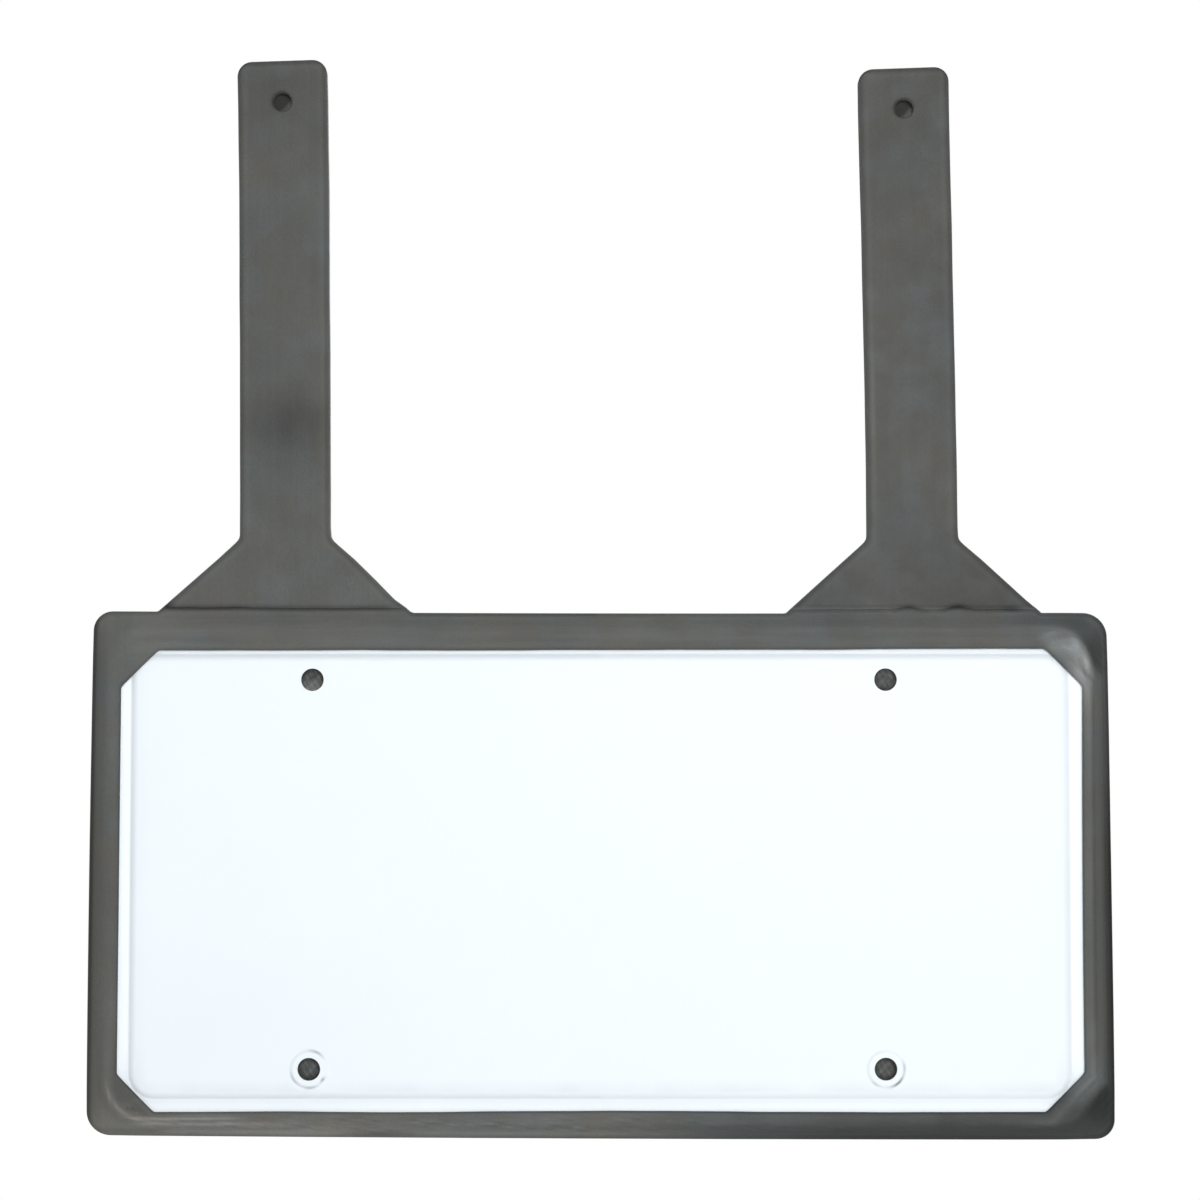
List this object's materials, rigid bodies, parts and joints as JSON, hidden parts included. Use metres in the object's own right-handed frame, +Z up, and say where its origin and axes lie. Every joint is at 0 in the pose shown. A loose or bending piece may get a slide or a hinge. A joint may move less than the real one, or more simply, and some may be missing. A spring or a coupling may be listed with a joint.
{
  "type": "number plate holder",
  "caption": "Flexible moulded rubber frame with an undercut channel, corner webs and long hanging straps, holding a blank pressed number plate.",
  "frame": {"origin": "midway between the two strap holes, on the flat back of the straps", "axes": "+Z up as the holder hangs, +X to the right seen from the front, and the front faces -Y, so +Y points back at what the holder hangs against"},
  "size_m": [0.316, 0.0058, 0.3344],
  "materials": {
    "rubber": "matt moulded rubber with faint flow streaks",
    "plate": "satin white coating on pressed aluminium sheet"
  },
  "bodies": {
    "root": {"holder": "rubber", "number_plate": "plate"}
  },
  "joints": []
}
